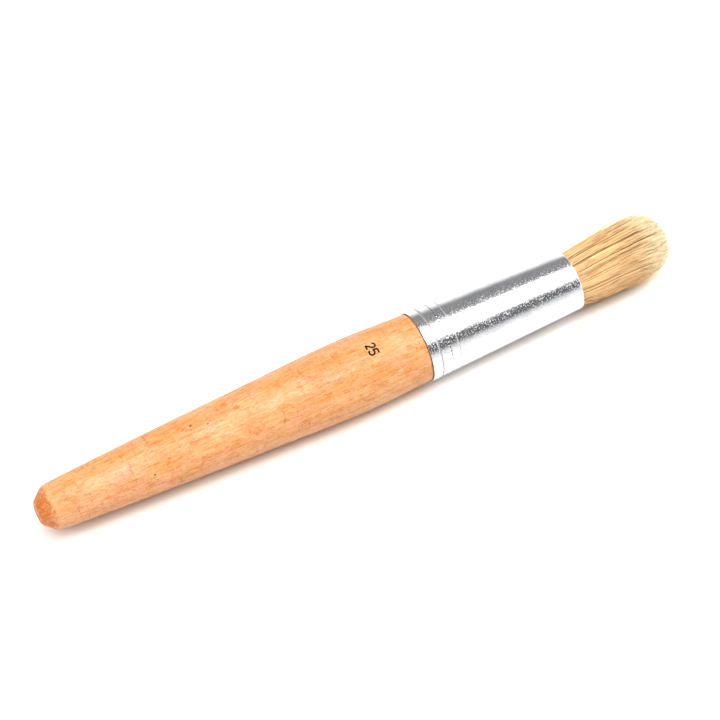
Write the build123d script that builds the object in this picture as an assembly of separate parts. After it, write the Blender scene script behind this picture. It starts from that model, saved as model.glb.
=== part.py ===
from build123d import *
import os
from math import cos, radians, sin, sqrt

# A round stencil brush lying on a flat surface. X runs along the brush, from the butt of the
# handle to the bristle tips, and X = 0 is the middle of its length. Z is up, and Z = 0 is the
# surface that the widest part of the handle rests on. All sizes are in millimetres.

# Lengths along the axis
handle_length = 142.0
ferrule_length = 60.0
bristle_reach = 38.4
butt_x = -(handle_length + ferrule_length + bristle_reach) / 2
rim_x = butt_x + handle_length
mouth_x = rim_x + ferrule_length

# Handle
butt_flat_radius = 3.9
butt_edge_radius = 8.1
butt_chamfer_length = 4.7
butt_flat_rounding = 3.0
butt_edge_rounding = 5.0
belly_radius = 13.15
belly_to_rim = 26.8
shoulder_radius = 12.3
shoulder_gap = 0.35
tenon_length = 30.0
tenon_clearance = 0.04
relief_depth = 0.6

# Ferrule
ferrule_rim_radius = 12.7
ferrule_mouth_radius = 10.5
ferrule_wall = 0.45
lip_radius = 0.75
ring_groove_x = 3.7
ring_groove_width = 0.9
ring_groove_depth = 0.24
fine_groove_x = 10.8
fine_groove_width = 0.45
fine_groove_depth = 0.12
bead_ring_x = 7.6
bead_count = 48
bead_radius = 0.5
bead_depth = 0.2
punch_marks = [(21.9, 99.5), (25.6, 85.0)]
punch_radius = 1.6
punch_depth = 0.25

# Setting and bristles
plug_start = 30.3
plug_length = 8.0
hair_clearance = 0.04
mouth_hair_radius = ferrule_mouth_radius - lip_radius - hair_clearance
bend_reach = 6.0
bend_x = mouth_x + bend_reach
bend_radius = 12.0
bend_gap = 0.3
hair_radius_at_bend = 10.9
head_radius = 12.65
head_widest_reach = 24.7
head_narrowing = 0.965
head_deepening = 1.1
head_lean = 4.6
head_lean_direction = 10.0

# Size number on the handle
mark_to_rim = 17.9
mark_angle = 94.3
digit_height = 3.2
digit_width = 1.7
digit_gap = 0.8
stroke_width = 0.6
ink_lift = 0.01
ink_thickness = 0.05


def ferrule_radius(x):
    """Outer radius of the ferrule's cone, x millimetres from its rim."""
    return ferrule_rim_radius + (ferrule_mouth_radius - ferrule_rim_radius) * x / ferrule_length


def turned(outline):
    """The solid that a closed outline above the X axis sweeps when it turns about that axis."""
    return revolve(make_face(outline), Axis.X)


def raised(solid):
    """The solid lifted from the construction axis to where the brush lies."""
    return Pos(0, 0, belly_radius) * solid


def around(x, radius, angle):
    """A point x along the axis and radius from it, with the angle measured from +Y towards +Z."""
    return (x, radius * cos(radians(angle)), radius * sin(radians(angle)))


def handle_side(offset=0.0):
    """The handle's long curve from above the butt, over the belly, to the shoulder."""
    return Spline(
        (butt_x + 9.0, butt_edge_radius + 0.3 + offset),
        (butt_x + 50.0, 10.55 + offset),
        (butt_x + 96.0, 12.5 + offset),
        (rim_x - belly_to_rim, belly_radius + offset),
        (rim_x - shoulder_gap, shoulder_radius + offset),
        tangents=[(1, 0.06), (1, -0.035)],
    )


def make_handle():
    """The turned handle: chamfered butt, swelling belly, relieved shoulder and tapered tenon."""
    side = handle_side()
    butt = FilletPolyline(
        (butt_x, 0),
        (butt_x, butt_flat_radius),
        (butt_x + butt_chamfer_length, butt_edge_radius),
        side @ 0,
        radius=[butt_flat_rounding, butt_edge_rounding],
    )
    tenon_x = rim_x + tenon_length
    snug = ferrule_wall + tenon_clearance
    tenon = Polyline(
        side @ 1,
        (rim_x - shoulder_gap, ferrule_radius(0) - snug - relief_depth),
        (rim_x + shoulder_gap, ferrule_radius(shoulder_gap) - snug - relief_depth),
        (rim_x + 2 * shoulder_gap, ferrule_radius(2 * shoulder_gap) - snug),
        (tenon_x - 1.0, ferrule_radius(tenon_length - 1.0) - snug),
        (tenon_x, ferrule_radius(tenon_length) - snug - 1.0),
        (tenon_x, 0),
        (butt_x, 0),
    )
    return raised(turned(butt + side + tenon))


def groove(x, width, depth):
    """A rounded groove in the ferrule's outline, centred x millimetres from its rim."""
    start, end = x - width / 2, x + width / 2
    return ThreePointArc(
        (rim_x + start, ferrule_radius(start)),
        (rim_x + x, ferrule_radius(x) - depth),
        (rim_x + end, ferrule_radius(end)),
    )


def ferrule_tube():
    """The tapered tube with its two turned grooves and its turned-in lip."""
    lip_x = mouth_x - lip_radius
    lip_y = ferrule_mouth_radius - lip_radius
    inner = lip_radius - ferrule_wall
    first = groove(ring_groove_x, ring_groove_width, ring_groove_depth)
    second = groove(fine_groove_x, fine_groove_width, fine_groove_depth)
    rim = Polyline(
        (rim_x, ferrule_rim_radius - ferrule_wall),
        (rim_x, ferrule_rim_radius - 0.12),
        (rim_x + 0.12, ferrule_radius(0.12)),
        first @ 0,
    )
    between = Line(first @ 1, second @ 0)
    cone = Line(second @ 1, (lip_x, ferrule_mouth_radius))
    lip = RadiusArc(cone @ 1, (mouth_x, lip_y), lip_radius)
    lip_end = Line((mouth_x, lip_y), (lip_x + inner, lip_y))
    lip_inside = RadiusArc((lip_x + inner, lip_y), (lip_x, lip_y + inner), -inner)
    bore = Line((lip_x, lip_y + inner), rim @ 0)
    return turned(rim + first + between + second + cone + lip + lip_end + lip_inside + bore)


def dents(places, radius, depth):
    """Round dents pressed into the ferrule, one at each (distance from the rim, angle)."""
    centres = [around(rim_x + x, ferrule_radius(x) - depth + radius, a) for x, a in places]
    return [Pos(*centre) * Sphere(radius) for centre in centres]


def make_ferrule():
    """The ferrule: the tube, its ring of small dents and its two punch marks."""
    ring = [(bead_ring_x, 360 * (i + 0.5) / bead_count) for i in range(bead_count)]
    tube = ferrule_tube()
    tube -= dents(ring, bead_radius, bead_depth)
    tube -= dents(punch_marks, punch_radius, punch_depth)
    return raised(tube)


def make_resin_plug():
    """The hardened setting that fills the ferrule between the tenon and the hair."""
    end = plug_start + plug_length
    snug = ferrule_wall + hair_clearance
    outline = Polyline(
        (rim_x + plug_start, 0),
        (rim_x + plug_start, ferrule_radius(plug_start) - snug),
        (rim_x + end, ferrule_radius(end) - snug),
        (rim_x + end, 0),
        close=True,
    )
    return raised(turned(outline))



def make_bristle_roots():
    """Hair from the setting, through the mouth, to a round end centred on the bend."""
    snug = ferrule_wall + hair_clearance
    start = plug_start + plug_length
    neck = ferrule_length - 2 * lip_radius
    edge_x = bend_x + sqrt(bend_radius**2 - hair_radius_at_bend**2)
    outline = Polyline(
        (bend_x + bend_radius, 0),
        (rim_x + start, 0),
        (rim_x + start, ferrule_radius(start) - snug),
        (rim_x + neck, ferrule_radius(neck) - snug),
        (mouth_x - lip_radius, mouth_hair_radius),
        (mouth_x + 0.5, mouth_hair_radius),
        (mouth_x + 1.5, mouth_hair_radius + 0.35),
        (edge_x, hair_radius_at_bend),
    )
    end = RadiusArc((edge_x, hair_radius_at_bend), (bend_x + bend_radius, 0), bend_radius)
    return raised(turned(outline + end))


def make_bristle_tips():
    """The flared, dome-cut end of the hair, hollowed to turn about the bend.

    The head leans to one side, is deeper than it is wide, and lies flat on the surface below.
    """
    widest_x = mouth_x + head_widest_reach
    flare = Spline(
        (bend_x, hair_radius_at_bend - 0.5),
        (bend_x + 7.0, hair_radius_at_bend + 0.25),
        (widest_x, head_radius),
        tangents=[(1, 0.06), (1, 0.02)],
    )
    dome = EllipticalCenterArc(
        (widest_x, 0),
        bristle_reach - head_widest_reach,
        head_radius,
        start_angle=0,
        arc_size=90,
    )
    base = Polyline((bend_x + bristle_reach - bend_reach, 0), (bend_x, 0), flare @ 0)
    head = scale(turned(base + flare + dome), by=(1, head_narrowing, head_deepening))
    across = around(0, 1, head_lean_direction + 90)
    head = head.rotate(Axis((bend_x, 0, 0), across), head_lean)
    head -= Pos(bend_x, 0, 0) * Sphere(bend_radius + bend_gap)
    above = Align.CENTER, Align.CENTER, Align.MIN
    room = Pos(bend_x, 0, 0) * Box(4 * bristle_reach, 4 * head_radius, 4 * head_radius, align=above)
    return room & raised(head)


def digit_two(left):
    """The strokes of a 2 with its lower left corner at (left, 0)."""
    bowl = digit_width / 2
    top = CenterArc((left + bowl, digit_height - bowl), bowl, 180, -210)
    return [top, Line(top @ 1, (left, 0)), Line((left, 0), (left + digit_width, 0))]


def digit_five(left):
    """The strokes of a 5 with its lower left corner at (left, 0)."""
    bowl = digit_width * 0.56
    lower = CenterArc((left + digit_width - bowl, bowl), bowl, 140, -290)
    corner = (left + 0.1, digit_height)
    return [lower, Line(lower @ 0, corner), Line(corner, (left + digit_width, digit_height))]


def make_size_mark():
    """A printed size number on the handle's upper side, its tops towards the bristles."""
    strokes = digit_two(0) + digit_five(digit_width + digit_gap)
    width = 2 * digit_width + digit_gap
    number = Sketch() + [trace(stroke, stroke_width) for stroke in strokes]
    number = Pos(-width / 2, -digit_height / 2) * number
    place = around(rim_x - mark_to_rim, 0, 0)
    outward = around(0, 1, mark_angle)
    reading = around(0, 1, mark_angle + 90)
    plane = Plane(origin=place, x_dir=reading, z_dir=outward)
    prism = extrude(plane * number, belly_radius + 2)
    inner = handle_side(ink_lift)
    outer = handle_side(ink_lift + ink_thickness)
    ends = Line(inner @ 0, outer @ 0) + Line(inner @ 1, outer @ 1)
    return raised(prism & turned(inner + outer + ends))


nodes = {
    "handle": make_handle(),
    "ferrule": make_ferrule(),
    "resin_plug": make_resin_plug(),
    "bristle_roots": make_bristle_roots(),
    "bristle_tips": make_bristle_tips(),
    "size_mark": make_size_mark(),
}

os.makedirs("parts", exist_ok=True)
for name, solid in nodes.items():
    export_step(solid, f"parts/{name}.step")
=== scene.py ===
import math

import bpy
import numpy as np
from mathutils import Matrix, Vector


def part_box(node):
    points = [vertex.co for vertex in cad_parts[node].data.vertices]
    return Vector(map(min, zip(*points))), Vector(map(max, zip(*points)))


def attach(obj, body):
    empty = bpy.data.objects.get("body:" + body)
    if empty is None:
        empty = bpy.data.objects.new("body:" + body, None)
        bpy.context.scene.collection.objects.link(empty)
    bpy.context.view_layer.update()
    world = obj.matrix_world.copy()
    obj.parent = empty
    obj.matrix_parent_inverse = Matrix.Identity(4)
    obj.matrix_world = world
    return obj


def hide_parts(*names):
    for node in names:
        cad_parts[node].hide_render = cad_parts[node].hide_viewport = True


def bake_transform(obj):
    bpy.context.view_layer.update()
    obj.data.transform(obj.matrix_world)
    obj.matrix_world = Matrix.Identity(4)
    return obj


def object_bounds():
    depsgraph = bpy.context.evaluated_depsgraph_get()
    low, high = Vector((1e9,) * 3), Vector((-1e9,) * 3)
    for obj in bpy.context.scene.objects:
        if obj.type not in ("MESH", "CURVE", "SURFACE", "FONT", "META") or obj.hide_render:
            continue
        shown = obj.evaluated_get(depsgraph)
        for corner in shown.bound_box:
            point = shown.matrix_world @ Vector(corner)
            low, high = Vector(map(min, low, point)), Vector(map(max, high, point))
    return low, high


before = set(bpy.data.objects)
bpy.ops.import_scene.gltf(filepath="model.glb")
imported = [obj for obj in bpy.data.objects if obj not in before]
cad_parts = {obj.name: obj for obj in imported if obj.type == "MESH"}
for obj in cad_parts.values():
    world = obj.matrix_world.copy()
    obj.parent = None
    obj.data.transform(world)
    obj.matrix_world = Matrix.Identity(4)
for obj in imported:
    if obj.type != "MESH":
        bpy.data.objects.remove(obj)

# The looks of a round stencil brush: lacquered turned handle, bright metal ferrule, pale natural
# bristles and a printed size number. Everything is in metres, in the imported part's own frame.

MM = 0.001
CAD_LOW, CAD_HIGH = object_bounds()
HANDLE_LOW, HANDLE_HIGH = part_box("handle")
FERRULE_LOW, FERRULE_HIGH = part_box("ferrule")
PLUG_LOW, PLUG_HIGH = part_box("resin_plug")
MARK_LOW, MARK_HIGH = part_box("size_mark")

AXIS_Z = (HANDLE_LOW.z + HANDLE_HIGH.z) / 2
BELLY_RADIUS = (HANDLE_HIGH.z - HANDLE_LOW.z) / 2
FERRULE_RIM_RADIUS = 12.7 * MM
FERRULE_MOUTH_RADIUS = 10.5 * MM
FERRULE_WALL = 0.45 * MM
BUTT_X = HANDLE_LOW.x
RIM_X = FERRULE_LOW.x
MOUTH_X = FERRULE_HIGH.x
TENON_X = HANDLE_HIGH.x
TIP_X = CAD_HIGH.x
FLOOR_Z = CAD_LOW.z

CAMERA_AZIMUTH = -27.5
CAMERA_ELEVATION = 57.0
CAMERA_DISTANCE = 1.0185
CAMERA_LENS = 150
CAMERA_SENSOR = 36
# Where it aims from the middle of the brush: along X, to the picture's right and up it.
AIM_ALONG = -0.7 * MM
AIM_RIGHT = 0.475 * MM
AIM_UP = 4.42 * MM


# ---------------------------------------------------------------- turned shapes


def clamped_spline(knots, first_slope, last_slope, x):
    """The smooth curve through the knots (x, radius) with the given end slopes, at each x."""
    at, value = np.array(knots, float).T
    step = np.diff(at)
    rise = np.diff(value) / step
    count = len(at)
    matrix = np.zeros((count, count))
    side = np.zeros(count)
    matrix[0, :2] = 2 * step[0], step[0]
    side[0] = 6 * (rise[0] - first_slope)
    matrix[-1, -2:] = step[-1], 2 * step[-1]
    side[-1] = 6 * (last_slope - rise[-1])
    for i in range(1, count - 1):
        matrix[i, i - 1 : i + 2] = step[i - 1], 2 * (step[i - 1] + step[i]), step[i]
        side[i] = 6 * (rise[i] - rise[i - 1])
    bend = np.linalg.solve(matrix, side)
    i = np.clip(np.searchsorted(at, x) - 1, 0, count - 2)
    t = (x - at[i]) / step[i]
    left = value[i] * (1 - t) + value[i + 1] * t
    pull = (1 - t) ** 3 * bend[i] + t**3 * bend[i + 1] - (1 - t) * bend[i] - t * bend[i + 1]
    return left + step[i] ** 2 / 6 * pull


def fillet(before, corner, after, radius, steps=6):
    """Points of the arc that rounds a corner between two straight runs."""
    before, corner, after = (np.array(p, float) for p in (before, corner, after))
    a = (before - corner) / np.linalg.norm(before - corner)
    b = (after - corner) / np.linalg.norm(after - corner)
    half = math.acos(np.clip(a @ b, -1, 1)) / 2
    middle = (a + b) / np.linalg.norm(a + b)
    centre = corner + middle * radius / math.sin(half)
    start = corner + a * radius / math.tan(half)
    end = corner + b * radius / math.tan(half)
    first, last = start - centre, end - centre
    sweep = math.acos(np.clip(first @ last / radius**2, -1, 1))
    points = []
    for i in range(steps + 1):
        t = i / steps
        arm = (math.sin((1 - t) * sweep) * first + math.sin(t * sweep) * last) / math.sin(sweep)
        points.append(tuple(centre + arm))
    return points


def straight(start, end, spacing):
    """Points between start and end, both left out, no further apart than spacing."""
    start, end = np.array(start, float), np.array(end, float)
    count = max(1, math.ceil(np.linalg.norm(end - start) / spacing))
    return [tuple(start + (end - start) * i / count) for i in range(1, count)]


class Waves:
    """A smooth uneven surface: waves of random direction that close round the brush."""

    def __init__(self, seed, lengths, turns, count):
        random = np.random.default_rng(seed)
        self.along = 2 * math.pi / random.uniform(*lengths, count)
        self.along *= random.choice([-1, 1], count)
        self.around = random.integers(turns[0], turns[1] + 1, count)
        self.phase = random.uniform(0, 2 * math.pi, count)

    def __call__(self, x, angle):
        """Height at each x and angle, about -1 to 1."""
        total = np.zeros(np.broadcast(x, angle).shape)
        for k, m, p in zip(self.along, self.around, self.phase):
            total += np.cos(k * x + m * angle + p)
        return total / math.sqrt(2 * len(self.phase))


def lathe(name, outline, segments, closed=False, relief=None):
    """A mesh turned about the brush's axis from an outline of (x, radius) points.

    Points on the axis become single vertices. relief(x, radius, angle) returns the change in
    radius at each point. A closed outline joins its last point to its first.
    """
    x, radius = np.array(outline, float).T
    angle = np.arange(segments) * 2 * math.pi / segments
    grid_x = np.repeat(x[:, None], segments, 1)
    grid_r = np.repeat(radius[:, None], segments, 1)
    grid_a = np.repeat(angle[None, :], len(x), 0)
    if relief is not None:
        grid_r = grid_r + relief(grid_x, grid_r, grid_a)
    vertices = []
    rings = []
    for i in range(len(x)):
        if radius[i] < 1e-9:
            rings.append([len(vertices)])
            vertices.append((x[i], 0.0, AXIS_Z))
            continue
        rings.append(list(range(len(vertices), len(vertices) + segments)))
        ys = grid_r[i] * np.cos(grid_a[i])
        zs = AXIS_Z + grid_r[i] * np.sin(grid_a[i])
        vertices.extend(zip(grid_x[i], ys, zs))
    faces = []
    pairs = list(zip(rings, rings[1:]))
    if closed:
        pairs.append((rings[-1], rings[0]))
    for first, second in pairs:
        for j in range(segments):
            k = (j + 1) % segments
            if len(first) == 1:
                faces.append((first[0], second[k], second[j]))
            elif len(second) == 1:
                faces.append((first[j], first[k], second[0]))
            else:
                faces.append((first[j], first[k], second[k], second[j]))
    mesh = bpy.data.meshes.new(name)
    mesh.from_pydata(vertices, [], faces)
    mesh.validate()
    mesh.shade_smooth()
    made = bpy.data.objects.new(name, mesh)
    bpy.context.scene.collection.objects.link(made)
    return made


# ---------------------------------------------------------------- handle

BUTT_FLAT_RADIUS = 3.9 * MM
BUTT_EDGE_RADIUS = 8.1 * MM
BUTT_CHAMFER = 4.7 * MM
BUTT_FLAT_ROUNDING = 3.0 * MM
BUTT_EDGE_ROUNDING = 5.0 * MM
SIDE_START = 9.0 * MM
SHOULDER_GAP = 0.35 * MM
SHOULDER_RADIUS = 12.3 * MM
BELLY_TO_RIM = 26.8 * MM
RELIEF_DEPTH = 0.6 * MM
TENON_CLEARANCE = 0.04 * MM
# Heights in millimetres of the turning's waves, and how far wear lowers the whole surface.
BROAD_WAVES = 0.030
SMALL_WAVES = 0.016
CHATTER_WAVES = 0.006
WEAR = 0.03


def ferrule_radius(x):
    """The outer radius of the ferrule's cone at x."""
    share = (x - RIM_X) / (MOUTH_X - RIM_X)
    return FERRULE_RIM_RADIUS + (FERRULE_MOUTH_RADIUS - FERRULE_RIM_RADIUS) * share


def handle_side(x):
    """The handle's radius along its side, from above the butt to the shoulder."""
    knots = [
        (BUTT_X + SIDE_START, BUTT_EDGE_RADIUS + 0.3 * MM),
        (BUTT_X + 50.0 * MM, 10.55 * MM),
        (BUTT_X + 96.0 * MM, 12.5 * MM),
        (RIM_X - BELLY_TO_RIM, BELLY_RADIUS),
        (RIM_X - SHOULDER_GAP, SHOULDER_RADIUS),
    ]
    return clamped_spline(knots, 0.06, -0.035, x)


def handle_outline():
    """The handle from the middle of its butt, over the belly, to the end of its tenon."""
    flat = (BUTT_X, BUTT_FLAT_RADIUS)
    edge = (BUTT_X + BUTT_CHAMFER, BUTT_EDGE_RADIUS)
    side = (BUTT_X + SIDE_START, handle_side(BUTT_X + SIDE_START))
    first = fillet((BUTT_X, 0), flat, edge, BUTT_FLAT_ROUNDING, 10)
    second = fillet(flat, edge, side, BUTT_EDGE_ROUNDING, 10)
    points = [(BUTT_X, 0.0)]
    points += straight((BUTT_X, 0), first[0], 0.6 * MM) + first
    points += straight(first[-1], second[0], 0.4 * MM) + second
    points += straight(second[-1], side, 0.5 * MM)
    end = RIM_X - SHOULDER_GAP
    steps = np.linspace(side[0], end - 0.3 * MM, 236)
    points += [(x, handle_side(x)) for x in steps]
    snug = FERRULE_WALL + TENON_CLEARANCE
    corner = (end, handle_side(end))
    relief = (end, ferrule_radius(RIM_X) - snug - RELIEF_DEPTH)
    points += fillet(points[-1], corner, relief, 0.15 * MM, 4)
    points += [
        relief,
        (RIM_X + SHOULDER_GAP, relief[1]),
        (RIM_X + 2 * SHOULDER_GAP, ferrule_radius(RIM_X + 2 * SHOULDER_GAP) - snug),
        (TENON_X - 1.0 * MM, ferrule_radius(TENON_X - 1.0 * MM) - snug),
        (TENON_X, ferrule_radius(TENON_X) - snug - 1.0 * MM),
        (TENON_X, 0.0),
    ]
    return points


def handle_relief(x, radius, angle):
    """Hand-turned unevenness, with none at the shoulder, the belly's rest and the printed number."""
    broad = Waves(11, (18 * MM, 60 * MM), (1, 5), 24)(x, angle)
    small = Waves(12, (5 * MM, 14 * MM), (2, 13), 40)(x, angle)
    chatter = Waves(13, (2.2 * MM, 3.4 * MM), (0, 2), 14)(x, angle)
    patches = np.clip(Waves(14, (16 * MM, 40 * MM), (1, 4), 12)(x, angle), 0, 1)
    mark_x = (MARK_LOW.x + MARK_HIGH.x) / 2
    mark_angle = math.atan2(MARK_HIGH.z - AXIS_Z, (MARK_LOW.y + MARK_HIGH.y) / 2)
    from_mark = np.hypot((x - mark_x) / (4 * MM), (angle - mark_angle) / 0.45)
    keep = np.clip(from_mark - 0.8, 0, 1)
    keep *= np.clip((RIM_X - SHOULDER_GAP - x) / (4 * MM), 0, 1)
    keep *= np.clip(radius / (6 * MM), 0, 1)
    height = BROAD_WAVES * broad + SMALL_WAVES * small + CHATTER_WAVES * chatter * patches
    return (height - WEAR) * MM * keep


def make_handle():
    """The turned wooden handle with its tenon."""
    made = lathe("handle_turned", handle_outline(), 224, relief=handle_relief)
    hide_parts("handle")
    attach(made, "brush")
    made.data.materials.append(wood_material())


# ---------------------------------------------------------------- ferrule

LIP_RADIUS = 0.75 * MM
RING_GROOVE = (3.7 * MM, 0.9 * MM, 0.24 * MM)
FINE_GROOVE = (10.8 * MM, 0.45 * MM, 0.12 * MM)
BEAD_RING_AT = 7.6 * MM
BEAD_COUNT = 48
BEAD_RADIUS = 0.5 * MM
BEAD_DEPTH = 0.14 * MM
PUNCH_MARKS = [(21.9 * MM, 99.5), (25.6 * MM, 85.0)]
PUNCH_SIZE = 0.95 * MM
PUNCH_DEPTH = 0.11 * MM
PUNCH_BURR = 0.045 * MM
CONE_SPACING = 0.8 * MM
BEADS_REACH = 0.6 * MM
MARKS_REACH = 1.2 * MM


def groove_points(groove, steps=12):
    """The outline of a rounded groove of (distance from the rim, width, depth)."""
    at, width, depth = groove
    points = []
    for t in np.linspace(-1, 1, steps + 1):
        x = RIM_X + at + t * width / 2
        points.append((x, ferrule_radius(x) - depth * (0.5 + 0.5 * math.cos(math.pi * t))))
    before = points[0][0] - 0.07 * MM
    after = points[-1][0] + 0.07 * MM
    return [(before, ferrule_radius(before))] + points + [(after, ferrule_radius(after))]


def ferrule_outline():
    """The tube's closed outline: rim, grooved cone, turned-in lip and bore."""
    lip_x = MOUTH_X - LIP_RADIUS
    lip_y = FERRULE_MOUTH_RADIUS - LIP_RADIUS
    inner = LIP_RADIUS - FERRULE_WALL
    rim_inside = (RIM_X, FERRULE_RIM_RADIUS - FERRULE_WALL)
    rim_outside = (RIM_X, FERRULE_RIM_RADIUS)
    first, second = groove_points(RING_GROOVE), groove_points(FINE_GROOVE)
    beads_start = RIM_X + BEAD_RING_AT - BEADS_REACH
    beads_end = RIM_X + BEAD_RING_AT + BEADS_REACH
    points = fillet(rim_inside, rim_outside, first[0], 0.12 * MM, 4)
    points += straight(points[-1], first[0], CONE_SPACING) + first
    beads = [(x, ferrule_radius(x)) for x in np.linspace(beads_start, beads_end, 11)]
    points += straight(first[-1], beads[0], CONE_SPACING) + beads
    points += straight(beads[-1], second[0], CONE_SPACING) + second
    marks_start = RIM_X + PUNCH_MARKS[0][0] - MARKS_REACH
    marks_end = RIM_X + PUNCH_MARKS[1][0] + MARKS_REACH
    marks = [(x, ferrule_radius(x)) for x in np.linspace(marks_start, marks_end, 31)]
    points += straight(second[-1], marks[0], CONE_SPACING) + marks
    lip = [(lip_x + LIP_RADIUS * math.sin(a), lip_y + LIP_RADIUS * math.cos(a))
           for a in np.linspace(0, math.pi / 2, 9)]
    points += straight(marks[-1], lip[0], CONE_SPACING) + lip
    inside = [(lip_x + inner * math.cos(a), lip_y + inner * math.sin(a))
              for a in np.linspace(0, math.pi / 2, 5)]
    points += inside + straight(inside[-1], rim_inside, 4 * MM) + [rim_inside]
    return points


def dent(x, angle, at_x, at_angle, radius, depth):
    """Depth that a ball pressed into the tube leaves at each point."""
    turn = (angle - at_angle + math.pi) % (2 * math.pi) - math.pi
    away = np.hypot(x - at_x, turn * ferrule_radius(at_x))
    reach = np.sqrt(np.clip(radius**2 - away**2, 0, None))
    return np.clip(reach - (radius - depth), 0, None)


def punched(x, angle, at_x, at_angle):
    """Change in height round a punch mark: a shallow crater inside a low burr."""
    turn = (angle - at_angle + math.pi) % (2 * math.pi) - math.pi
    away = np.hypot(x - at_x, turn * ferrule_radius(at_x)) / PUNCH_SIZE
    burr = PUNCH_BURR * np.exp(-(((away - 0.9) / 0.3) ** 2))
    return burr - PUNCH_DEPTH * np.exp(-((away / 0.55) ** 2))


def ferrule_relief(x, radius, angle):
    """The ring of small dents, the two punch marks and a faint unevenness, outside only."""
    outside = radius > ferrule_radius(x) - RING_GROOVE[2] - 0.01 * MM
    change = np.zeros(x.shape)
    for i in range(BEAD_COUNT):
        at_angle = 2 * math.pi * (i + 0.5) / BEAD_COUNT
        change -= dent(x, angle, RIM_X + BEAD_RING_AT, at_angle, BEAD_RADIUS, BEAD_DEPTH)
    for at_x, degrees in PUNCH_MARKS:
        at_angle = math.radians(degrees)
        change += punched(x, angle, RIM_X + at_x, at_angle)
    change += 0.006 * MM * Waves(21, (9 * MM, 40 * MM), (1, 6), 16)(x, angle)
    return np.where(outside, change, 0)


def make_ferrule():
    """The seamless metal ferrule with its grooves, dents and turned-in lip."""
    made = lathe("ferrule_polished", ferrule_outline(), 480, closed=True, relief=ferrule_relief)
    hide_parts("ferrule")
    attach(made, "brush")
    made.data.materials.append(metal_material())


# ---------------------------------------------------------------- bristles

HAIR_COUNT = 5800
HAIR_SEED = 31
HAIR_RADIUS = 0.12 * MM
HAIR_RINGS = 9
CLUMP_COUNT = 2200
CLUMP_PULL = 0.07
MOUTH_HAIR_RADIUS = 9.6 * MM
HEAD_RADIUS = 11.55 * MM
HEAD_WIDEST = 24.7 * MM
HEAD_REACH = TIP_X - MOUTH_X
HEAD_LEAN = 0.85 * MM
HEAD_LEAN_DIRECTION = math.radians(10.0)
HEAD_WIDTH = 0.965
HEAD_HEIGHT = 1.08
DOME_START = 26.0 * MM
DOME_ROUNDNESS = 2.6
# Shares of the hairs that are broken short, that stand out past the dome, and that are loose at
# the surface, and how far past the dome the strays reach at most.
SHORT_SHARE = 0.08
STRAY_SHARE = 0.25
HALO_SHARE = 0.15
STRAY_REACH = 1.5 * MM
# The side where loose hairs stand out most. The hair opposite it is worn shorter.
HALO_SIDE = np.array([math.cos(math.radians(32.0)), math.sin(math.radians(32.0))])
HALO_SPREAD = 0.3
WORN_SHORTER = 4.5 * MM
# Partings between locks: angle in degrees, start and length beyond the mouth, half width.
PARTINGS = [(95.0, -1.0 * MM, 7.0 * MM, 0.2 * MM)]
PARTING_COUNT = 60
PARTING_FADE = 0.4 * MM
# Surface hairs within these degrees of the first parting are made dark: painted shade along the parting.
PARTING_SHADE_DEGREES = 1.4


def eased(value):
    """A smooth step from 0 to 1."""
    value = np.clip(value, 0, 1)
    return value * value * (3 - 2 * value)


def hair_spread(reach):
    """The bundle's radius at a distance beyond the mouth, before it leans."""
    knots = [
        (0.0, MOUTH_HAIR_RADIUS),
        (5.0 * MM, 10.45 * MM),
        (13.0 * MM, 10.9 * MM),
        (19.0 * MM, 11.1 * MM),
        (HEAD_WIDEST, HEAD_RADIUS),
        (HEAD_REACH, HEAD_RADIUS * 1.05),
    ]
    curve = clamped_spline(knots, 0.26, 0.02, np.clip(reach, 0, HEAD_REACH))
    return np.where(reach < 0, MOUTH_HAIR_RADIUS, curve)


def hair_centre(reach):
    """How far the bundle's middle has leaned at a distance beyond the mouth."""
    return HEAD_LEAN * eased((reach - 2 * MM) / (26 * MM))


def hair_roots(random):
    """Each hair's place in the bundle as a share of its radius on two axes, and its clump."""
    order = np.arange(HAIR_COUNT) + 0.5
    share = np.sqrt(order / HAIR_COUNT)
    angle = order * math.pi * (3 - math.sqrt(5))
    flat = np.stack([share * np.cos(angle), share * np.sin(angle)], 1)
    flat += random.normal(0, 0.009, flat.shape)
    near = np.sqrt(random.uniform(0.02, 1.05, CLUMP_COUNT))
    turn = random.uniform(0, 2 * math.pi, CLUMP_COUNT)
    clumps = np.stack([near * np.cos(turn), near * np.sin(turn)], 1)
    distance = ((flat[:, None, :] - clumps[None, :, :]) ** 2).sum(2)
    own = distance.argmin(1)
    return flat, clumps[own], own


def part_locks(place, reach, random):
    """Opens the partings: hairs near each one are moved aside, most near the surface."""
    share = np.linalg.norm(place, axis=2)
    angle = np.arctan2(place[:, :, 1], place[:, :, 0])
    partings = [(math.radians(a), start, length, width) for a, start, length, width in PARTINGS]
    for _ in range(PARTING_COUNT):
        start = random.uniform(-2, 28) * MM
        length = random.uniform(3, 10) * MM
        width = random.uniform(0.02, 0.07) * MM
        partings.append((random.uniform(-math.pi, math.pi), start, length, width))
    for at, start, length, width in partings:
        turn = (angle - at + math.pi) % (2 * math.pi) - math.pi
        here = np.clip((reach - start) / length, 0, 1)
        open_by = width * np.sin(here * math.pi) * eased((share - 0.6) / 0.25)
        side = turn * hair_spread(reach)
        near = np.exp(-np.abs(side) / PARTING_FADE) * np.sign(side)
        angle = angle + open_by * near / hair_spread(reach)
    return np.stack([share * np.cos(angle), share * np.sin(angle)], 2)


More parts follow.
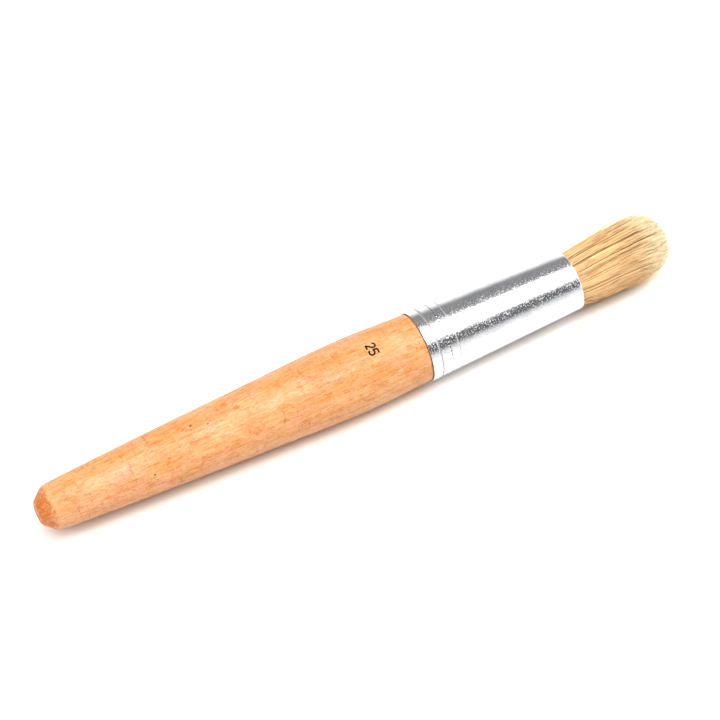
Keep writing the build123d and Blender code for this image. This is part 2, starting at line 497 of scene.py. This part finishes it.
def hair_reach(flat, share, random):
    """How far beyond the mouth each ring of each hair is, and which hairs are strays."""
    full = DOME_START + (HEAD_REACH - DOME_START) * np.sqrt(1 - share**DOME_ROUNDNESS)
    short = np.abs(random.normal(0, 0.5 + share, HAIR_COUNT)) * MM
    broken = random.uniform(0, 1, HAIR_COUNT) < SHORT_SHARE
    short += broken * random.uniform(1, 7, HAIR_COUNT) * MM
    is_stray = random.uniform(0, 1, HAIR_COUNT) < STRAY_SHARE
    stray = is_stray * random.uniform(0, STRAY_REACH, HAIR_COUNT)
    low_side = np.clip(-flat @ HALO_SIDE, 0, 1)
    length = full - short + stray - WORN_SHORTER * low_side * share**5 - 0.1 * MM
    stations = np.concatenate([[0.0], np.linspace(0, 1, HAIR_RINGS - 1) ** 0.9])
    reach = stations[None, :] * length[:, None]
    reach[:, 0] = PLUG_HIGH.x - MOUTH_X
    reach[:, 1] = 0.0
    return reach, is_stray


def bent(flat, clump, grow, random):
    """Each ring's place as a share of the bundle's radius: clumped, bowed and swaying."""
    pull = CLUMP_PULL * np.sin(np.clip(grow * 1.15, 0, 1) * math.pi) ** 0.8
    place = flat[:, None, :] * (1 - pull[:, :, None]) + clump[:, None, :] * pull[:, :, None]
    bow = random.normal(0, 1, (HAIR_COUNT, 1, 2)) * 0.022
    sway = random.normal(0, 1, (HAIR_COUNT, 1, 2)) * 0.005
    return place + bow * grow[:, :, None] ** 2 + sway * np.sin(grow * 7)[:, :, None]


def loosened(place, flat, share, grow, random):
    """The loose hairs moved out past the surface, all others kept inside it."""
    norm = np.linalg.norm(place, axis=2, keepdims=True)
    halo = (random.uniform(0, 1, HAIR_COUNT) < HALO_SHARE) & (share > 0.8)
    upper = np.clip((flat @ HALO_SIDE) / share, 0, 1) ** 4
    out = 0.02 + HALO_SPREAD * random.uniform(0, 1, HAIR_COUNT) ** 1.3 * upper
    loose = np.where(halo, out, 0)[:, None]
    limit = (1 + loose * eased(grow * 1.6) * (1 - 0.35 * eased((grow - 0.62) / 0.3)))[:, :, None]
    settle = eased(grow * 1.8)[:, :, None] * halo[:, None, None]
    place = place * (1 + (limit / np.maximum(norm, 0.8) - 1) * settle)
    norm = np.linalg.norm(place, axis=2, keepdims=True)
    return place / np.maximum(norm / limit, 1.0), halo


def in_the_head(place, reach, grow, random):
    """Points in metres for places in the bundle: spread, widened, leaning and above the floor."""
    spread = hair_spread(reach)
    widen = np.clip(reach / (12 * MM), 0, 1)
    lean = hair_centre(reach)
    y = place[:, :, 0] * spread * (1 + (HEAD_WIDTH - 1) * widen)
    z = place[:, :, 1] * spread * (1 + (HEAD_HEIGHT - 1) * widen)
    y = y + lean * math.cos(HEAD_LEAN_DIRECTION)
    z = z + lean * math.sin(HEAD_LEAN_DIRECTION) + AXIS_Z
    low = FLOOR_Z + HAIR_RADIUS + random.uniform(0, 0.5, (HAIR_COUNT, 1)) * MM * grow
    return np.stack([MOUTH_X + reach, y, np.maximum(z, low)], 2)


def hair_paths():
    """Centre lines of all the hairs, (hair, ring, xyz), and how each hair is to be drawn.

    With them come each ring's growth from 0 at the mouth to 1 at the tips, and each hair's place
    from 0 in the middle to 1 outside, thickness, tone, and the turn that its clump shares.
    """
    random = np.random.default_rng(HAIR_SEED)
    flat, clump, own = hair_roots(random)
    share = np.clip(np.linalg.norm(flat, axis=1), 0, 1)
    reach, is_stray = hair_reach(flat, share, random)
    grow = np.clip(reach / HEAD_REACH, 0, 1)
    place = bent(flat, clump, grow, random)
    place, halo = loosened(place, flat, share, grow, random)
    place = part_locks(place, reach, random)
    points = in_the_head(place, reach, grow, random)
    tone = random.uniform(0, 1, HAIR_COUNT)
    turn = np.degrees(np.arctan2(flat[:, 1], flat[:, 0]))
    # Hairs along the first parting get the darkest tone: painted shade in the parting.
    tone[(np.abs(turn - PARTINGS[0][0]) < PARTING_SHADE_DEGREES) & (share > 0.95)] = 0
    tone[halo] = 0.25 + 0.65 * tone[halo]
    thick = (0.75 + 0.5 * tone) * np.where(halo, 0.36, 1) * np.where(is_stray, 0.7, 1)
    twist = random.uniform(0, 1, CLUMP_COUNT)[own]
    return points, grow, share, thick, tone, twist


def hair_mesh(name, points, grow, thick, tone, twist):
    """Thin tapered three-sided strands along the given centre lines."""
    count, rings, _ = points.shape
    along = np.gradient(points, axis=1)
    along /= np.linalg.norm(along, axis=2, keepdims=True)
    side = np.cross(along, np.array([0.0, 0.0, 1.0]))
    side /= np.linalg.norm(side, axis=2, keepdims=True)
    over = np.cross(along, side)
    radius = HAIR_RADIUS * (1 - 0.68 * grow**2.5) * thick[:, None]
    turn = 2 * math.pi * (np.arange(3)[None, None, :] / 3 + twist[:, None, None])
    offset = side[:, :, None, :] * np.cos(turn)[..., None]
    offset = offset + over[:, :, None, :] * np.sin(turn)[..., None]
    vertices = points[:, :, None, :] + offset * radius[:, :, None, None]
    index = np.arange(count * rings * 3).reshape(count, rings, 3)
    a, b = index[:, :-1, :], index[:, 1:, :]
    quads = np.stack([a, np.roll(a, -1, 2), np.roll(b, -1, 2), b], 3).reshape(-1, 4)
    caps = np.concatenate([index[:, 0, ::-1], index[:, -1, :]])
    faces = quads.tolist() + caps.tolist()
    mesh = bpy.data.meshes.new(name)
    mesh.from_pydata(vertices.reshape(-1, 3).tolist(), [], faces)
    mesh.shade_smooth()
    colour = np.ones((count, rings, 3, 4), np.float32)
    colour[..., 0] = grow[:, :, None]
    colour[..., 1] = tone[:, None, None]
    attribute = mesh.color_attributes.new("strand", "FLOAT_COLOR", "POINT")
    attribute.data.foreach_set("color", colour.ravel())
    made = bpy.data.objects.new(name, mesh)
    bpy.context.scene.collection.objects.link(made)
    return made


def make_bristles():
    """All the hair in three pieces: core, middle and outer layer."""
    points, grow, share, thick, tone, twist = hair_paths()
    material = bristle_material()
    layers = [
        ("bristles_core", 0.0, 0.6),
        ("bristles_middle", 0.6, 0.84),
        ("bristles_outer", 0.84, 2.0),
    ]
    for name, low, high in layers:
        chosen = (share >= low) & (share < high)
        parts = [part[chosen] for part in (points, grow, thick, tone, twist)]
        made = hair_mesh(name, *parts)
        made.data.materials.append(material)
        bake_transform(made)
        if name == "bristles_outer":
            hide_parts("bristle_roots", "bristle_tips")


# ---------------------------------------------------------------- materials


def linear(red, green, blue):
    """A screen colour of 0 to 255 as a linear colour with alpha."""
    parts = [c / 255 for c in (red, green, blue)]
    parts = [c / 12.92 if c <= 0.04045 else ((c + 0.055) / 1.055) ** 2.4 for c in parts]
    return (*parts, 1.0)


def node(tree, kind, inputs=None, **settings):
    """A new node with its settings, and its inputs linked or set."""
    made = tree.nodes.new(kind)
    for key, value in settings.items():
        setattr(made, key, value)
    for key, value in (inputs or {}).items():
        if isinstance(value, bpy.types.NodeSocket):
            tree.links.new(value, made.inputs[key])
        else:
            made.inputs[key].default_value = value
    return made


def maths(tree, operation, first, second=0.0, third=0.0, clamp=False):
    """The result of one Math node."""
    inputs = {0: first, 1: second, 2: third}
    return node(tree, "ShaderNodeMath", inputs, operation=operation, use_clamp=clamp).outputs[0]


def between(tree, value, low, high, out_low=0.0, out_high=1.0):
    """The value's place between low and high, eased and held at the ends."""
    inputs = {"Value": value, "From Min": low, "From Max": high, "To Min": out_low, "To Max": out_high}
    made = node(tree, "ShaderNodeMapRange", inputs, interpolation_type="SMOOTHSTEP")
    return made.outputs["Result"]


def mixed(tree, factor, first, second, blend="MIX"):
    """Two colours mixed."""
    inputs = {0: factor, 6: first, 7: second}
    return node(tree, "ShaderNodeMix", inputs, data_type="RGBA", blend_type=blend).outputs[2]


def scaled(tree, vector, scale, shift=(0.0, 0.0, 0.0)):
    """A vector stretched by a scale on each axis and then moved."""
    inputs = {"Vector": vector, "Scale": scale, "Location": shift}
    return node(tree, "ShaderNodeMapping", inputs).outputs[0]


def noise(tree, vector, scale, detail=3.0, roughness=0.5, distortion=0.0):
    """Smooth random values, about 0.3 to 0.7."""
    inputs = {
        "Vector": vector,
        "Scale": scale,
        "Detail": detail,
        "Roughness": roughness,
        "Distortion": distortion,
    }
    return node(tree, "ShaderNodeTexNoise", inputs).outputs[0]


def new_material(name):
    """A material's node tree, its Principled shader and its object coordinates in millimetres."""
    material = bpy.data.materials.new(name)
    material.use_nodes = True
    tree = material.node_tree
    shader = tree.nodes["Principled BSDF"]
    place = node(tree, "ShaderNodeTexCoord").outputs["Object"]
    size = 1 / MM
    return material, tree, shader, scaled(tree, place, (size, size, size))


def surface_angle(tree, place):
    """Angle round the brush's axis in degrees, from +Y towards +Z, and the distance along X."""
    parts = node(tree, "ShaderNodeSeparateXYZ", {0: place})
    height = maths(tree, "SUBTRACT", parts.outputs[2], AXIS_Z / MM)
    angle = maths(tree, "ARCTAN2", height, parts.outputs[1])
    return maths(tree, "MULTIPLY", angle, 180 / math.pi), parts.outputs[0]


def spot(tree, x, angle, mark):
    """One on a small oval mark of the handle's surface, falling to zero round it.

    A mark is its place along X in millimetres and its angle in degrees, then its length and width
    in millimetres.
    """
    at_x, at_degrees, length, width = mark
    arc = math.radians(1) * HANDLE_MEAN_RADIUS / MM
    across = maths(tree, "MULTIPLY", maths(tree, "SUBTRACT", angle, at_degrees), 2 * arc / width)
    down = maths(tree, "MULTIPLY", maths(tree, "SUBTRACT", x, at_x), 2 / length)
    square = maths(tree, "MULTIPLY", across, across)
    square = maths(tree, "MULTIPLY_ADD", down, down, square)
    return between(tree, square, 1.6, 0.4)


WOOD_DEEP = (191, 137, 83)
WOOD_PALE = (196, 149, 100)
WOOD_PATCH = (186, 115, 61)
WOOD_CREAM = (200, 159, 119)
WOOD_PINK = (204, 152, 120)
WOOD_FIGURE = (214, 166, 128)
WOOD_STREAK = (240, 212, 186)
WOOD_FLECK = (222, 176, 142)
WOOD_PORE = (186, 140, 108)
PINHOLE = (62, 34, 20)
RED_FLECK = (190, 88, 44)
BUTT_ORANGE = (166, 82, 12)
BUTT_WORN = (198, 160, 118)
# Blemishes of the handle, each in the form that spot() takes.
PINHOLES = [
    (-63.0, 84.0, 1.0, 0.8),
    (-80.5, 142.0, 0.8, 0.7),
    (-57.6, 95.0, 0.8, 0.5),
    (31.0, -60.0, 0.7, 0.6),
]
RED_FLECKS = [
    (-46.7, 89.0, 2.4, 1.1),
    (-66.0, 86.0, 1.6, 0.7),
    (-98.0, 150.0, 2.6, 1.0),
]
HANDLE_MEAN_RADIUS = 11.0 * MM


def butt_colour(tree, place, x, colour):
    """Deeper mottled lacquer over the butt's chamfer, worn pale along the edge above it."""
    mottle = noise(tree, place, 0.55, 4.0, 0.65, 0.8)
    from_butt = maths(tree, "SUBTRACT", x, BUTT_X / MM)
    wobble = maths(tree, "MULTIPLY_ADD", mottle, 5.0, from_butt)
    chamfer = between(tree, wobble, 8.8, 5.0)
    deep = mixed(tree, between(tree, mottle, 0.44, 0.6, 0, 0.75), linear(*BUTT_ORANGE), colour)
    colour = mixed(tree, maths(tree, "MULTIPLY", chamfer, 0.9), colour, deep)
    rise, fall = between(tree, wobble, 6.0, 7.4), between(tree, wobble, 9.2, 7.4)
    worn = maths(tree, "MULTIPLY", maths(tree, "MULTIPLY", rise, fall), 0.4)
    return mixed(tree, worn, colour, linear(*BUTT_WORN))


def beech_colour(tree, place, x, angle):
    """Streaks, blotches, flecks and pores of lacquered beech, with its few blemishes."""
    grain = scaled(tree, place, (0.045, 1.0, 1.0), (0, 3.1, 7.7))
    streaks = noise(tree, grain, 1.3, 5.0, 0.65, 0.6)
    broad = noise(tree, scaled(tree, place, (0.35, 1.0, 1.0)), 0.11, 3.0, 0.55, 0.8)
    blotch = noise(tree, scaled(tree, place, (0.6, 1.0, 1.0), (40, 0, 0)), 0.26, 5.0, 0.65, 1.4)
    flecks = noise(tree, scaled(tree, place, (0.2, 1.0, 1.0), (9, 5, 2)), 1.9, 3.0, 0.6, 0.3)
    pores = noise(tree, scaled(tree, place, (0.12, 1.0, 1.0), (3, 8, 1)), 3.8, 2.0, 0.5)
    chatter = noise(tree, scaled(tree, place, (1.0, 0.1, 0.1), (2, 6, 5)), 0.75, 3.0, 0.6, 0.8)
    worked = noise(tree, place, 0.07, 2.0, 0.5)
    figure = noise(tree, scaled(tree, place, (0.55, 1.0, 1.0), (5, 1, 9)), 0.3, 4.0, 0.6, 1.0)
    clouds = noise(tree, scaled(tree, place, (0.6, 1.0, 1.0), (7, 2, 4)), 0.16, 3.0, 0.55, 0.5)
    colour = mixed(tree, between(tree, broad, 0.36, 0.64), linear(*WOOD_DEEP), linear(*WOOD_PALE))
    colour = mixed(tree, between(tree, blotch, 0.54, 0.66, 0, 0.65), colour, linear(*WOOD_PATCH))
    colour = mixed(tree, between(tree, blotch, 0.46, 0.33, 0, 0.6), colour, linear(*WOOD_CREAM))
    colour = mixed(tree, between(tree, clouds, 0.5, 0.66, 0, 0.55), colour, linear(*WOOD_PINK))
    edge = maths(tree, "ABSOLUTE", maths(tree, "SUBTRACT", figure, 0.5))
    layers = [
        (between(tree, edge, 0.016, 0.002, 0, 0.55), WOOD_FIGURE),
        (between(tree, streaks, 0.35, 0.7, 0, 0.9), WOOD_STREAK),
        (between(tree, flecks, 0.56, 0.7, 0, 0.7), WOOD_FLECK),
        (between(tree, pores, 0.58, 0.7, 0, 0.6), WOOD_PORE),
    ]
    lines, worn = between(tree, chatter, 0.58, 0.66), between(tree, worked, 0.45, 0.6)
    lines = maths(tree, "MULTIPLY", lines, worn)
    layers.append((maths(tree, "MULTIPLY", lines, 0.6), WOOD_FLECK))
    for factor, tint in layers:
        colour = mixed(tree, factor, colour, linear(*tint), "MULTIPLY")
    for mark in RED_FLECKS:
        factor = maths(tree, "MULTIPLY", spot(tree, x, angle, mark), 0.6)
        colour = mixed(tree, factor, colour, linear(*RED_FLECK))
    for mark in PINHOLES:
        factor = maths(tree, "MULTIPLY", spot(tree, x, angle, mark), 0.85)
        colour = mixed(tree, factor, colour, linear(*PINHOLE))
    return colour


def wood_material():
    """Orange-lacquered beech under a thick, uneven clear coat."""
    material, tree, shader, place = new_material("lacquered_beech")
    angle, x = surface_angle(tree, place)
    colour = butt_colour(tree, place, x, beech_colour(tree, place, x, angle))
    tree.links.new(colour, shader.inputs["Base Color"])
    shader.inputs["Roughness"].default_value = 0.55
    shader.inputs["Specular IOR Level"].default_value = 0.1
    shader.inputs["Coat Weight"].default_value = 0.42
    shader.inputs["Coat Roughness"].default_value = 0.07
    shader.inputs["Coat IOR"].default_value = 1.5
    runs = noise(tree, scaled(tree, place, (0.75, 1.0, 1.0)), 0.2, 2.0, 0.5, 0.6)
    lacquer = noise(tree, scaled(tree, place, (0.8, 1.0, 1.0)), 0.5, 4.0, 0.6, 0.7)
    fine = noise(tree, scaled(tree, place, (0.12, 1.0, 1.0)), 4.5, 3.0, 0.5)
    height = maths(tree, "MULTIPLY_ADD", lacquer, 0.45, runs)
    height = maths(tree, "MULTIPLY_ADD", fine, 0.012, height)
    bump = node(tree, "ShaderNodeBump", {"Height": height, "Strength": 1.0, "Distance": 0.8 * MM})
    tree.links.new(bump.outputs[0], shader.inputs["Normal"])
    tree.links.new(bump.outputs[0], shader.inputs["Coat Normal"])
    return material


METAL_DULL = (232, 233, 236)
METAL_BRIGHT = (245, 245, 246)
# The next two greys are painted shade for the ferrule's grooves and its ring of dents.
GROOVE_SHADE_TINT = (176, 174, 172)
GROOVE_SHADE_DARK = (110, 108, 106)


def metal_material():
    """Bright aluminium with a fine grain, turning lines and dull specks, and painted shade in its grooves
    and its ring of dents.
    """
    material, tree, shader, place = new_material("bright_aluminium")
    shader.inputs["Metallic"].default_value = 1.0
    grain = noise(tree, place, 1.7, 3.0, 0.6)
    specks = noise(tree, place, 2.1, 1.5, 0.6)
    lines = noise(tree, scaled(tree, place, (6.0, 0.12, 0.12)), 1.0, 3.0, 0.6)
    soot = noise(tree, scaled(tree, place, (0.5, 1.0, 1.0)), 0.35, 3.0, 0.6)
    tint = mixed(tree, between(tree, soot, 0.35, 0.65), linear(*METAL_DULL), linear(*METAL_BRIGHT))
    angle, x = surface_angle(tree, place)
    turned = 0.0
    for groove in (RING_GROOVE, FINE_GROOVE):
        off = maths(tree, "ABSOLUTE", maths(tree, "SUBTRACT", x, (RIM_X + groove[0]) / MM))
        inside = between(tree, off, groove[1] / MM * 0.5, groove[1] / MM * 0.2)
        turned = maths(tree, "MAXIMUM", inside, turned)
    # The grooves' insides are tinted darker: painted shade in the grooves.
    tint = mixed(tree, maths(tree, "MULTIPLY", turned, 0.6), tint, linear(*GROOVE_SHADE_TINT))
    # Darker bands at the ring groove and the ring of dents: painted shade in these recesses.
    for at, factor in ((RING_GROOVE[0], 0.5), (BEAD_RING_AT, 0.7)):
        off = maths(tree, "ABSOLUTE", maths(tree, "SUBTRACT", x, (RIM_X + at) / MM))
        tint = mixed(tree, between(tree, off, 0.2, 0.08, 0, factor), tint, linear(*GROOVE_SHADE_DARK))
    tree.links.new(tint, shader.inputs["Base Color"])
    dulled = between(tree, angle, 66.0, 100.0, 0.24, 0.42)
    rough = between(tree, specks, 0.52, 0.62, 0.05, dulled)
    rough = maths(tree, "MAXIMUM", rough, maths(tree, "MULTIPLY", lines, 0.2))
    rough = maths(tree, "MAXIMUM", rough, maths(tree, "MULTIPLY", turned, 0.55))
    tree.links.new(rough, shader.inputs["Roughness"])
    height = maths(tree, "MULTIPLY_ADD", lines, 0.15, grain)
    height = maths(tree, "MULTIPLY_ADD", specks, 0.5, height)
    bump = node(tree, "ShaderNodeBump", {"Height": height, "Strength": 1.0, "Distance": 0.03 * MM})
    tree.links.new(bump.outputs[0], shader.inputs["Normal"])
    return material


STRAW_DARK = (226, 184, 129)
STRAW_LIGHT = (241, 206, 153)
TIP_DARK = (232, 216, 166)
TIP_LIGHT = (247, 240, 214)
LOCK_SHADE = (158, 120, 84)
BROWN_HAIR = (134, 90, 50)
HAIR_FLECK = (214, 176, 128)


def bristle_material():
    """Pale hog bristle: straw at the mouth, cream at the tips, each strand its own tone, with painted
    shade between the hairs.
    """
    material, tree, shader, place = new_material("hog_bristle")
    strand = node(tree, "ShaderNodeAttribute", attribute_name="strand", attribute_type="GEOMETRY")
    parts = node(tree, "ShaderNodeSeparateColor", {0: strand.outputs["Color"]})
    grow, tone = parts.outputs[0], parts.outputs[1]
    straw = mixed(tree, tone, linear(*STRAW_DARK), linear(*STRAW_LIGHT))
    tips = mixed(tree, tone, linear(*TIP_DARK), linear(*TIP_LIGHT))
    colour = mixed(tree, between(tree, grow, 0.5, 1.0), straw, tips)
    # Darker runs along single strands: painted shade between the hairs.
    across, along = maths(tree, "MULTIPLY", tone, 900), maths(tree, "MULTIPLY", grow, 4)
    own = node(tree, "ShaderNodeCombineXYZ", {0: across, 1: along})
    runs = noise(tree, own.outputs[0], 1.0, 1.0, 0.5)
    colour = mixed(tree, between(tree, runs, 0.57, 0.63, 0, 0.65), colour, linear(*LOCK_SHADE), "MULTIPLY")
    flecks = noise(tree, scaled(tree, place, (0.4, 2.0, 2.0)), 1.0, 2.0, 0.5)
    flecked = between(tree, flecks, 0.45, 0.75, 0, 0.2)
    colour = mixed(tree, flecked, colour, linear(*HAIR_FLECK), "MULTIPLY")
    brown = between(tree, tone, 0.14, 0.1, 0, 0.9)
    colour = mixed(tree, brown, colour, linear(*BROWN_HAIR))
    tree.links.new(colour, shader.inputs["Base Color"])
    shader.inputs["Roughness"].default_value = 0.45
    shader.inputs["Specular IOR Level"].default_value = 0.25
    return material


def ink_material():
    """Printed ink, nearly black, thinner in places."""
    material, tree, shader, place = new_material("mark_ink")
    patches = noise(tree, place, 3.0, 3.0, 0.6)
    colour = mixed(tree, between(tree, patches, 0.35, 0.75), linear(14, 10, 9), linear(34, 24, 18))
    tree.links.new(colour, shader.inputs["Base Color"])
    shader.inputs["Roughness"].default_value = 0.6
    shader.inputs["Specular IOR Level"].default_value = 0.1
    return material


def resin_material():
    """Dark amber setting resin with soft clouds."""
    material, tree, shader, place = new_material("setting_resin")
    clouds = noise(tree, place, 0.5, 4.0, 0.6)
    colour = mixed(tree, between(tree, clouds, 0.3, 0.7), linear(92, 52, 22), linear(150, 92, 44))
    tree.links.new(colour, shader.inputs["Base Color"])
    shader.inputs["Roughness"].default_value = 0.25
    return material


def dress_cad_node(name, material):
    """Gives a CAD node that stays in view its material slot and its procedural material."""
    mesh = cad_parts[name].data
    mesh.materials.clear()
    mesh.materials.append(material)


# ---------------------------------------------------------------- stage

# Brightness by angle in degrees over the brush, from the back horizon to the front horizon: the
# light that falls on matt surfaces, and what the metal and the lacquer mirror.
LIGHT = [
    (0, 0.2), (48, 0.35), (60, 1.8), (90, 1.95), (100, 4.3), (117, 4.5), (120, 0.25), (160, 0.15),
    (180, 0.1),
]
MIRRORED = [
    (0, 0.9), (8, 0.78), (14, 0.38), (25, 0.29), (46, 0.30), (62, 0.32), (68, 0.8), (72, 1.5), (80, 1.8),
    (84, 8.5), (106, 8.5), (110, 1.8), (120, 1.5), (124, 0.8), (129, 0.22), (140, 0.15), (153, 0.18),
    (161, 0.6), (168, 0.95), (180, 1.0),
]
# The end walls that they mirror: side, brightness, and where along X each begins and is full.
WALLS = [(-1, 0.3, 0.45, 0.75), (1, 3.0, 0.84, 0.94)]


def bands(tree, share, stops):
    """Brightness that follows the stops as the share goes from 0 to 1."""
    ramp = node(tree, "ShaderNodeValToRGB", {0: share})
    brightest = max(value for _, value in stops)
    points = ramp.color_ramp.elements
    for i, (degrees, value) in enumerate(stops):
        point = points[i] if i < 2 else points.new(degrees / 180)
        point.position = degrees / 180
        point.color = (value / brightest,) * 3 + (1,)
    return maths(tree, "MULTIPLY", ramp.outputs[0], brightest)


def make_world():
    """White to the camera, soft bands of light to matt surfaces, a softbox tent to shiny ones."""
    world = bpy.data.worlds.new("studio")
    bpy.context.scene.world = world
    world.use_nodes = True
    tree = world.node_tree
    tree.nodes.clear()
    direction = node(tree, "ShaderNodeTexCoord").outputs["Generated"]
    parts = node(tree, "ShaderNodeSeparateXYZ", {0: direction})
    angle = maths(tree, "ARCTAN2", parts.outputs[2], parts.outputs[1])
    share = maths(tree, "DIVIDE", angle, math.pi, clamp=True)
    mirrored = bands(tree, share, MIRRORED)
    for side, wall, begins, full in WALLS:
        towards = maths(tree, "MULTIPLY", parts.outputs[0], side)
        open_share = between(tree, towards, begins, full, 1.0, 0.0)
        above_wall = maths(tree, "SUBTRACT", mirrored, wall)
        mirrored = maths(tree, "MULTIPLY_ADD", above_wall, open_share, wall)
    mirror = node(tree, "ShaderNodeBackground", {"Color": (1, 1, 1, 1), "Strength": mirrored})
    light = bands(tree, share, LIGHT)
    fill = node(tree, "ShaderNodeBackground", {"Color": (1, 0.98, 0.96, 1), "Strength": light})
    white = node(tree, "ShaderNodeBackground", {"Color": (1, 1, 1, 1), "Strength": 1.0})
    path = node(tree, "ShaderNodeLightPath").outputs
    shaders = {0: path["Is Diffuse Ray"], 1: mirror.outputs[0], 2: fill.outputs[0]}
    lit = node(tree, "ShaderNodeMixShader", shaders)
    shaders = {0: path["Is Camera Ray"], 1: lit.outputs[0], 2: white.outputs[0]}
    seen = node(tree, "ShaderNodeMixShader", shaders)
    node(tree, "ShaderNodeOutputWorld", {0: seen.outputs[0]})


# The floor's albedo as the camera sees it, as it lights the brush, and as the metal mirrors it behind and
# in front. The mirrored greys are painted shade in the reflections of the floor.
FLOOR_WHITE = (0.86, 0.82, 0.785, 1)
FLOOR_BOUNCE = (0.98, 0.96, 0.93, 1)
FLOOR_MIRRORED = (0.52, 0.52, 0.52, 1), (0.68, 0.675, 0.67, 1)
FLOOR_HALF_SIZE = 4.0


def make_floor():
    """A plain white floor under the brush, painted darker where the metal mirrors it, as shade in the
    reflection.
    """
    size = FLOOR_HALF_SIZE
    corners = [(-size, -size), (size, -size), (size, size), (-size, size)]
    mesh = bpy.data.meshes.new("floor")
    mesh.from_pydata([(x, y, FLOOR_Z) for x, y in corners], [], [(0, 1, 2, 3)])
    floor = bpy.data.objects.new("floor", mesh)
    bpy.context.scene.collection.objects.link(floor)
    material, tree, shader, place = new_material("floor_white")
    depth = node(tree, "ShaderNodeSeparateXYZ", {0: place}).outputs[1]
    # Grey for glossy rays, darker behind than in front: painted shade in what the metal mirrors.
    mirrored = mixed(tree, between(tree, depth, 12, -12), *FLOOR_MIRRORED)
    path = node(tree, "ShaderNodeLightPath").outputs
    bounced = mixed(tree, path["Is Glossy Ray"], FLOOR_BOUNCE, mirrored)
    colour = mixed(tree, path["Is Camera Ray"], bounced, FLOOR_WHITE)
    tree.links.new(colour, shader.inputs["Base Color"])
    shader.inputs["Roughness"].default_value = 0.9
    shader.inputs["Specular IOR Level"].default_value = 0.0
    mesh.materials.append(material)


def make_camera():
    """The camera, seen from the butt's end and above, level, with a long lens."""
    a, e = math.radians(CAMERA_AZIMUTH), math.radians(CAMERA_ELEVATION)
    back = Vector((math.sin(a) * math.cos(e), -math.cos(a) * math.cos(e), math.sin(e)))
    right = Vector((math.cos(a), math.sin(a), 0))
    up = back.cross(right)
    middle = Vector(((CAD_LOW.x + CAD_HIGH.x) / 2 + AIM_ALONG, 0, AXIS_Z))
    aim = middle + right * AIM_RIGHT + up * AIM_UP
    data = bpy.data.cameras.new("camera")
    data.lens = CAMERA_LENS
    data.sensor_width = CAMERA_SENSOR
    camera = bpy.data.objects.new("camera", data)
    camera.location = aim + back * CAMERA_DISTANCE
    camera.rotation_mode = "QUATERNION"
    camera.rotation_quaternion = back.to_track_quat("Z", "Y")
    bpy.context.scene.collection.objects.link(camera)
    bpy.context.scene.camera = camera


def set_tones():
    """Plain screen colours, so that white stays white."""
    view = bpy.context.scene.view_settings
    view.view_transform = "Standard"
    view.look = "None"
    view.exposure = 0
    view.gamma = 1


make_camera()
make_world()
make_floor()
make_handle()
make_ferrule()
make_bristles()
dress_cad_node("resin_plug", resin_material())
dress_cad_node("size_mark", ink_material())
set_tones()
